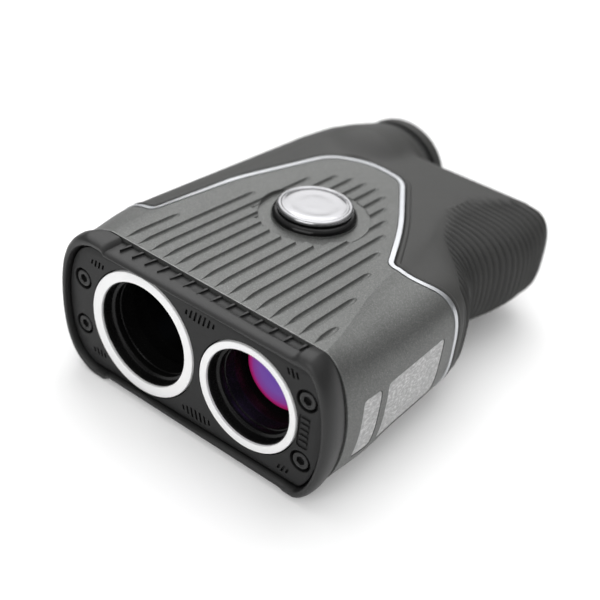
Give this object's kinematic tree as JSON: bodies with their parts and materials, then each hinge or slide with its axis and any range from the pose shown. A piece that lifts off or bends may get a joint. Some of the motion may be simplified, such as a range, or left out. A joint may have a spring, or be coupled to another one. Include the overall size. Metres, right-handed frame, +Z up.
{
  "type": "laser rangefinder",
  "caption": "Handheld monocular laser rangefinder lying on its side: twin front lenses, ribbed casing, rubber grip, magnetic disc, focusing eyepiece.",
  "frame": {"origin": "centre of the footprint on the table the object lies on, broad side down", "axes": "-Y is the way the lenses look, +Y runs to the eyepiece, +Z up out of the broad side with the disc, +X towards the grip edge (the underside in use)"},
  "size_m": [0.0836, 0.1182, 0.0384],
  "materials": {
    "shell": "satin grey paint with fine metallic flake",
    "rubber": "matte moulded rubber",
    "bezel": "matte black plastic",
    "plate": "dark satin plate",
    "white": "white paint",
    "silver": "bright silver trim",
    "chrome": "polished",
    "black": "matte black",
    "steel": "dark oxide and bare steel",
    "brass": "bright",
    "lens": "coated optical glass",
    "clear": "clear optical glass",
    "board": "green circuit board",
    "cell": "plain wrapped cell"
  },
  "bodies": {
    "casing": {"front_shell": "shell", "silver_trim": "silver", "rubber_armour": "rubber", "main_housing": "black", "front_bezel": "bezel", "front_plate": "plate", "objective_accent_ring": "white", "receiver_accent_ring": "white", "bezel_screw_1": "steel", "bezel_screw_2": "steel", "bezel_screw_3": "steel", "bezel_screw_4": "steel", "front_seal": "rubber", "label_plate": "plate", "disc_seat_ring": "black", "magnet_disc": "chrome", "cart_magnet": "steel", "objective_barrel": "black", "objective_retaining_ring": "black", "objective_lens": "lens", "receiver_barrel": "black", "receiver_retaining_ring": "black", "receiver_lens": "lens", "optical_chassis": "black", "prism_block": "clear", "prism_holder": "black", "laser_diode": "brass", "display_module": "board", "detector": "brass", "detector_board": "board", "main_board": "board", "fire_switch": "steel", "mode_switch": "steel", "slide_switch": "steel", "side_board": "board", "battery_tube": "black", "battery_spring": "steel"},
    "fire_button": {"fire_button": "rubber"},
    "mode_button": {"mode_button": "rubber"},
    "slope_slider": {"slope_slider": "bezel"},
    "diopter_ring": {"diopter_ring": "bezel"},
    "eyepiece": {"eyepiece_barrel": "black", "eyepiece_lens": "lens", "eyecup": "rubber"},
    "battery_cap": {"battery_cap": "bezel", "battery_cap_seal": "rubber", "battery_tab_pin": "steel"},
    "cap_tab": {"battery_cap_tab": "steel"},
    "battery": {"battery": "cell"}
  },
  "joints": [
    {"name": "fire_press", "type": "slide", "parent": "casing", "child": "fire_button", "axis": [1, 0, 0], "range_m": [0, 0.001]},
    {"name": "mode_press", "type": "slide", "parent": "casing", "child": "mode_button", "axis": [1, 0, 0], "range_m": [0, 0.0008]},
    {"name": "slope_slide", "type": "slide", "parent": "casing", "child": "slope_slider", "axis": [0, 1, 0], "range_m": [0, 0.004]},
    {"name": "diopter_turn", "type": "hinge", "parent": "casing", "child": "diopter_ring", "pos_m": [-0.01924, 0.0529, 0.019], "axis": [0, 1, 0], "range_deg": [-90, 90]},
    {"name": "eyepiece_focus", "type": "slide", "parent": "casing", "child": "eyepiece", "axis": [0, 1, 0], "range_m": [-0.0008, 0.0008]},
    {"name": "cap_removal", "type": "slide", "parent": "casing", "child": "battery_cap", "axis": [0, 1, 0], "range_m": [0, 0.045]},
    {"name": "tab_flip", "type": "hinge", "parent": "battery_cap", "child": "cap_tab", "pos_m": [0.01826, 0.0487, 0.019], "axis": [-1, 0, 0], "range_deg": [0, 90]},
    {"name": "battery_slide", "type": "slide", "parent": "casing", "child": "battery", "axis": [0, 1, 0], "range_m": [0, 0.028]}
  ],
  "couplings": [
    {"joint": "eyepiece_focus", "follows": "diopter_turn", "m_per_rad": 0.0005},
    {"joint": "battery_slide", "follows": "cap_removal", "ratio": 0.6}
  ]
}
